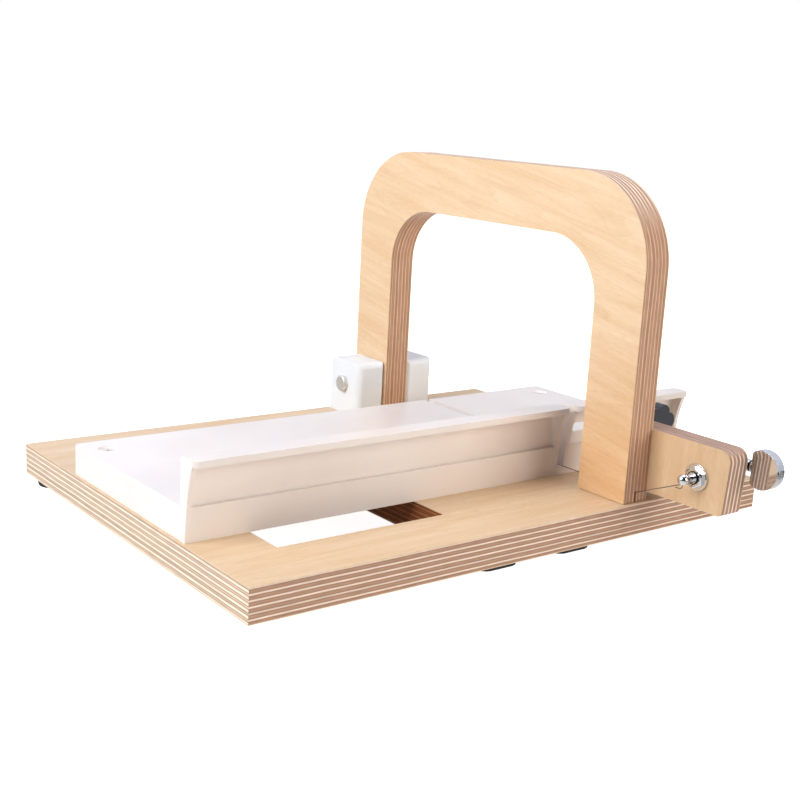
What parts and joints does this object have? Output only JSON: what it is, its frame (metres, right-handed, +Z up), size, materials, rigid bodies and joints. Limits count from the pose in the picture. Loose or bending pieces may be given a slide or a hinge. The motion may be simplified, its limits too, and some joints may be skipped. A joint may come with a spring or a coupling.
{
  "type": "soap cutter",
  "caption": "Bench soap cutter: plywood board, moulded tray with slotted fence and adjustable stop, and a hinged bow with a tuned cutting wire.",
  "frame": {"origin": "middle of the base board's underside; the rubber feet reach below it", "axes": "+X along the board to the right, +Y away from the user towards the hinge, +Z up"},
  "size_m": [0.35, 0.3283, 0.2015],
  "materials": {
    "plywood": "lacquered birch plywood, plies showing on the edges",
    "tray_plastic": "glossy white moulding",
    "block_plastic": "milky white plastic, satin",
    "rubber": "black rubber",
    "zinc_steel": "zinc plated",
    "spring_steel": "drawn wire",
    "chrome": "polished chrome plate",
    "brass": "turned brass",
    "aluminium": "satin",
    "knob_plastic": "dark slate moulding"
  },
  "bodies": {
    "base": {"base_board": "plywood", "round_feet": "rubber", "foot_screws": "zinc_steel", "front_pads": "rubber", "tray": "tray_plastic", "tray_screws": "zinc_steel", "pivot_block_front": "block_plastic", "pivot_block_rear": "block_plastic", "block_screws": "zinc_steel", "pivot_bolt": "zinc_steel", "pivot_washer": "zinc_steel", "pivot_nut": "zinc_steel"},
    "bow": {"bow_frame": "plywood", "tuner_arm": "plywood", "arm_screws": "zinc_steel", "cutting_wire": "spring_steel", "wire_ball_end": "brass", "tuner_housing": "chrome", "tuner_plate": "chrome", "housing_screw": "chrome", "tuner_bushing": "chrome", "tuner_washer": "chrome", "post_ring": "rubber"},
    "tuner_spindle": {"tuner_post": "chrome", "tuner_gear": "brass", "gear_screw": "zinc_steel"},
    "tuner_key": {"worm_shaft": "zinc_steel", "friction_washer": "rubber", "shaft_collar": "chrome", "tuner_button": "chrome", "button_screw": "chrome"},
    "stop": {"stop_plate": "aluminium", "stop_bolt": "zinc_steel", "stop_washer": "zinc_steel"},
    "knob": {"stop_knob": "knob_plastic", "knob_insert": "brass"}
  },
  "joints": [
    {"name": "bow_hinge", "type": "hinge", "parent": "base", "child": "bow", "pos_m": [0.0713, 0.1116, 0.0387], "axis": [-1, 0, 0], "range_deg": [0, 97]},
    {"name": "key_spin", "type": "hinge", "parent": "bow", "child": "tuner_key", "pos_m": [0.1012, -0.19, 0.0487], "axis": [0, -1, 0], "continuous": true},
    {"name": "post_spin", "type": "hinge", "parent": "bow", "child": "tuner_spindle", "pos_m": [0.075, -0.1615, 0.0407], "axis": [-1, 0, 0], "continuous": true},
    {"name": "stop_slide", "type": "slide", "parent": "base", "child": "stop", "axis": [1, 0, 0], "range_m": [-0.05275, 0.01975]},
    {"name": "knob_spin", "type": "hinge", "parent": "stop", "child": "knob", "pos_m": [0.1373, -0.08, 0.0448], "axis": [0, 1, 0], "continuous": true}
  ],
  "couplings": [
    {"joint": "post_spin", "follows": "key_spin", "ratio": 0.066667}
  ]
}
